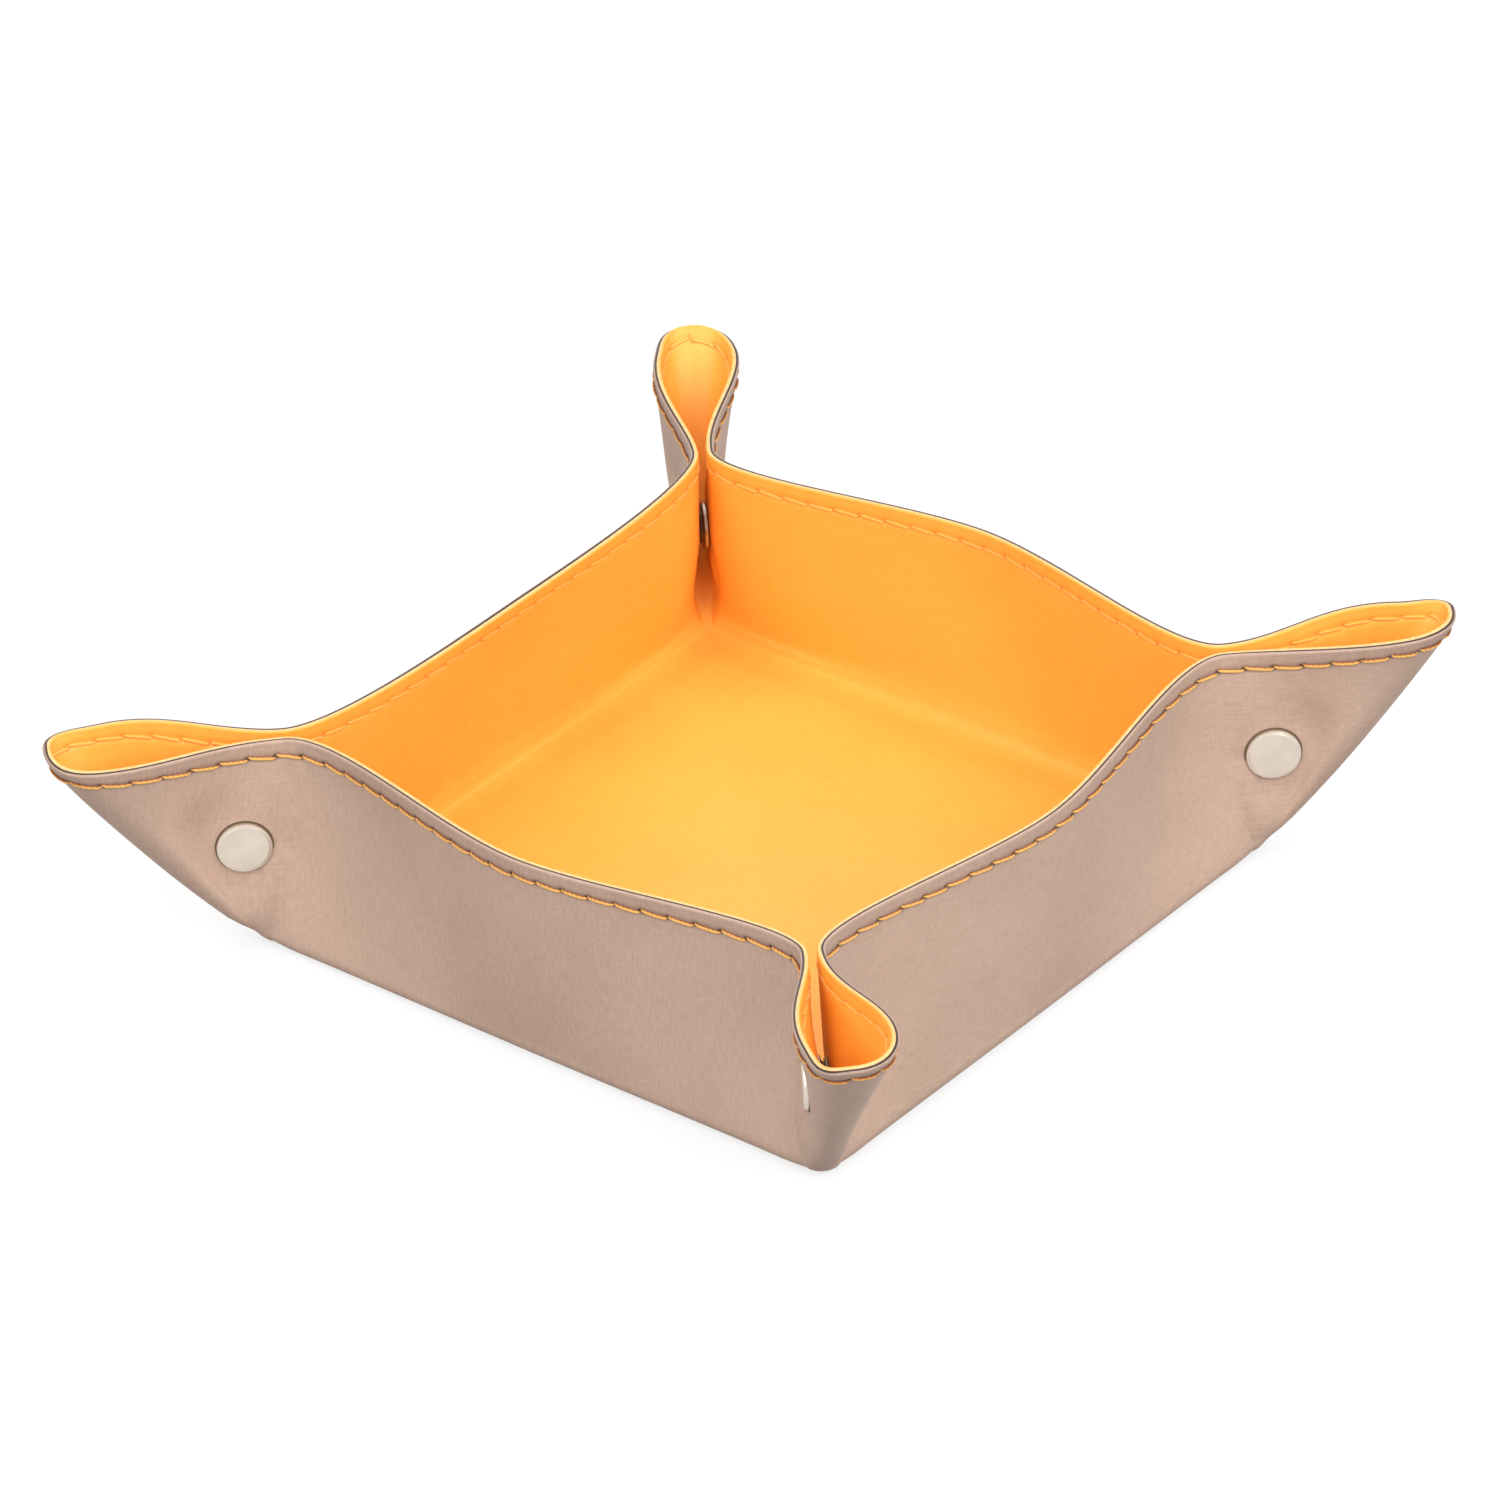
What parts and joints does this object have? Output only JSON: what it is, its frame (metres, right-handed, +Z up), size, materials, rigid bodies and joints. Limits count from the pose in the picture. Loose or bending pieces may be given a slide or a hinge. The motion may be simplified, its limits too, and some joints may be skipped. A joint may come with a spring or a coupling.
{
  "type": "valet tray",
  "caption": "Square fold-up valet tray of lined leatherette whose corners are pinched by press snaps; let go, the walls and ears fold out flat.",
  "frame": {"origin": "middle of the base's underside, on the surface that the tray stands on", "axes": "+Z up out of the tray; +X towards the wall named right, -Y towards the wall named front"},
  "size_m": [0.1688, 0.1688, 0.0434],
  "materials": {
    "outer": "satin taupe leatherette with a fine brushed grain",
    "liner": "smooth orange leatherette",
    "board": "grey pressed board",
    "cap": "satin nickel",
    "snap": "bright nickel"
  },
  "bodies": {
    "base": {"base_outer": "outer", "base_board": "board", "base_liner": "liner"},
    "wall_front": {"front_outer": "outer", "front_liner": "liner"},
    "wall_right": {"right_outer": "outer", "right_liner": "liner"},
    "wall_back": {"back_outer": "outer", "back_liner": "liner"},
    "wall_left": {"left_outer": "outer", "left_liner": "liner"},
    "flap_front_left": {"front_flap_left_outer": "outer", "front_flap_left_liner": "liner", "front_cap_left": "cap", "front_stud": "snap"},
    "tip_front_left": {"front_tip_left_outer": "outer", "front_tip_left_liner": "liner"},
    "flap_front_right": {"front_flap_right_outer": "outer", "front_flap_right_liner": "liner", "front_cap_right": "cap", "front_socket": "snap"},
    "tip_front_right": {"front_tip_right_outer": "outer", "front_tip_right_liner": "liner"},
    "flap_right_left": {"right_flap_left_outer": "outer", "right_flap_left_liner": "liner", "right_cap_left": "cap", "right_stud": "snap"},
    "tip_right_left": {"right_tip_left_outer": "outer", "right_tip_left_liner": "liner"},
    "flap_right_right": {"right_flap_right_outer": "outer", "right_flap_right_liner": "liner", "right_cap_right": "cap", "right_socket": "snap"},
    "tip_right_right": {"right_tip_right_outer": "outer", "right_tip_right_liner": "liner"},
    "flap_back_left": {"back_flap_left_outer": "outer", "back_flap_left_liner": "liner", "back_cap_left": "cap", "back_stud": "snap"},
    "tip_back_left": {"back_tip_left_outer": "outer", "back_tip_left_liner": "liner"},
    "flap_back_right": {"back_flap_right_outer": "outer", "back_flap_right_liner": "liner", "back_cap_right": "cap", "back_socket": "snap"},
    "tip_back_right": {"back_tip_right_outer": "outer", "back_tip_right_liner": "liner"},
    "flap_left_left": {"left_flap_left_outer": "outer", "left_flap_left_liner": "liner", "left_cap_left": "cap", "left_stud": "snap"},
    "tip_left_left": {"left_tip_left_outer": "outer", "left_tip_left_liner": "liner"},
    "flap_left_right": {"left_flap_right_outer": "outer", "left_flap_right_liner": "liner", "left_cap_right": "cap", "left_socket": "snap"},
    "tip_left_right": {"left_tip_right_outer": "outer", "left_tip_right_liner": "liner"}
  },
  "joints": [
    {"name": "fold_front", "type": "hinge", "parent": "base", "child": "wall_front", "pos_m": [0, -0.05956, 0.00095], "axis": [1, 0, 0], "range_deg": [0, 84]},
    {"name": "fold_right", "type": "hinge", "parent": "base", "child": "wall_right", "pos_m": [0.05956, 0, 0.00095], "axis": [0, 1, 0], "range_deg": [0, 84]},
    {"name": "fold_back", "type": "hinge", "parent": "base", "child": "wall_back", "pos_m": [0, 0.05956, 0.00095], "axis": [-1, 0, 0], "range_deg": [0, 84]},
    {"name": "fold_left", "type": "hinge", "parent": "base", "child": "wall_left", "pos_m": [-0.05956, 0, 0.00095], "axis": [0, -1, 0], "range_deg": [0, 84]},
    {"name": "crease_front_left", "type": "hinge", "parent": "wall_front", "child": "flap_front_left", "pos_m": [-0.0595, -0.05956, 0.00095], "axis": [-0.1149, -0.0919, -0.9891], "range_deg": [0, 62.27]},
    {"name": "nose_front_left", "type": "hinge", "parent": "flap_front_left", "child": "tip_front_left", "pos_m": [-0.0595, -0.05956, 0.00095], "axis": [-0.2275, -0.4596, 0.8585], "range_deg": [0, 70.74]},
    {"name": "crease_front_right", "type": "hinge", "parent": "wall_front", "child": "flap_front_right", "pos_m": [0.0595, -0.05956, 0.00095], "axis": [-0.1149, 0.0919, 0.9891], "range_deg": [0, 62.27]},
    {"name": "nose_front_right", "type": "hinge", "parent": "flap_front_right", "child": "tip_front_right", "pos_m": [0.0595, -0.05956, 0.00095], "axis": [-0.2275, 0.4596, -0.8585], "range_deg": [0, 70.74]},
    {"name": "crease_right_left", "type": "hinge", "parent": "wall_right", "child": "flap_right_left", "pos_m": [0.05956, -0.0595, 0.00095], "axis": [0.0919, -0.1149, -0.9891], "range_deg": [0, 62.27]},
    {"name": "nose_right_left", "type": "hinge", "parent": "flap_right_left", "child": "tip_right_left", "pos_m": [0.05956, -0.0595, 0.00095], "axis": [0.4596, -0.2275, 0.8585], "range_deg": [0, 70.74]},
    {"name": "crease_right_right", "type": "hinge", "parent": "wall_right", "child": "flap_right_right", "pos_m": [0.05956, 0.0595, 0.00095], "axis": [-0.0919, -0.1149, 0.9891], "range_deg": [0, 62.27]},
    {"name": "nose_right_right", "type": "hinge", "parent": "flap_right_right", "child": "tip_right_right", "pos_m": [0.05956, 0.0595, 0.00095], "axis": [-0.4596, -0.2275, -0.8585], "range_deg": [0, 70.74]},
    {"name": "crease_back_left", "type": "hinge", "parent": "wall_back", "child": "flap_back_left", "pos_m": [0.0595, 0.05956, 0.00095], "axis": [0.1149, 0.0919, -0.9891], "range_deg": [0, 62.27]},
    {"name": "nose_back_left", "type": "hinge", "parent": "flap_back_left", "child": "tip_back_left", "pos_m": [0.0595, 0.05956, 0.00095], "axis": [0.2275, 0.4596, 0.8585], "range_deg": [0, 70.74]},
    {"name": "crease_back_right", "type": "hinge", "parent": "wall_back", "child": "flap_back_right", "pos_m": [-0.0595, 0.05956, 0.00095], "axis": [0.1149, -0.0919, 0.9891], "range_deg": [0, 62.27]},
    {"name": "nose_back_right", "type": "hinge", "parent": "flap_back_right", "child": "tip_back_right", "pos_m": [-0.0595, 0.05956, 0.00095], "axis": [0.2275, -0.4596, -0.8585], "range_deg": [0, 70.74]},
    {"name": "crease_left_left", "type": "hinge", "parent": "wall_left", "child": "flap_left_left", "pos_m": [-0.05956, 0.0595, 0.00095], "axis": [-0.0919, 0.1149, -0.9891], "range_deg": [0, 62.27]},
    {"name": "nose_left_left", "type": "hinge", "parent": "flap_left_left", "child": "tip_left_left", "pos_m": [-0.05956, 0.0595, 0.00095], "axis": [-0.4596, 0.2275, 0.8585], "range_deg": [0, 70.74]},
    {"name": "crease_left_right", "type": "hinge", "parent": "wall_left", "child": "flap_left_right", "pos_m": [-0.05956, -0.0595, 0.00095], "axis": [0.0919, 0.1149, 0.9891], "range_deg": [0, 62.27]},
    {"name": "nose_left_right", "type": "hinge", "parent": "flap_left_right", "child": "tip_left_right", "pos_m": [-0.05956, -0.0595, 0.00095], "axis": [0.4596, 0.2275, -0.8585], "range_deg": [0, 70.74]}
  ],
  "couplings": [
    {"joint": "fold_right", "follows": "fold_front", "ratio": 1},
    {"joint": "fold_back", "follows": "fold_front", "ratio": 1},
    {"joint": "fold_left", "follows": "fold_front", "ratio": 1},
    {"joint": "crease_front_left", "follows": "fold_front", "ratio": 0.74119},
    {"joint": "nose_front_left", "follows": "fold_front", "ratio": 0.84202},
    {"joint": "crease_front_right", "follows": "fold_front", "ratio": 0.74119},
    {"joint": "nose_front_right", "follows": "fold_front", "ratio": 0.84202},
    {"joint": "crease_right_left", "follows": "fold_front", "ratio": 0.74119},
    {"joint": "nose_right_left", "follows": "fold_front", "ratio": 0.84202},
    {"joint": "crease_right_right", "follows": "fold_front", "ratio": 0.74119},
    {"joint": "nose_right_right", "follows": "fold_front", "ratio": 0.84202},
    {"joint": "crease_back_left", "follows": "fold_front", "ratio": 0.74119},
    {"joint": "nose_back_left", "follows": "fold_front", "ratio": 0.84202},
    {"joint": "crease_back_right", "follows": "fold_front", "ratio": 0.74119},
    {"joint": "nose_back_right", "follows": "fold_front", "ratio": 0.84202},
    {"joint": "crease_left_left", "follows": "fold_front", "ratio": 0.74119},
    {"joint": "nose_left_left", "follows": "fold_front", "ratio": 0.84202},
    {"joint": "crease_left_right", "follows": "fold_front", "ratio": 0.74119},
    {"joint": "nose_left_right", "follows": "fold_front", "ratio": 0.84202}
  ]
}
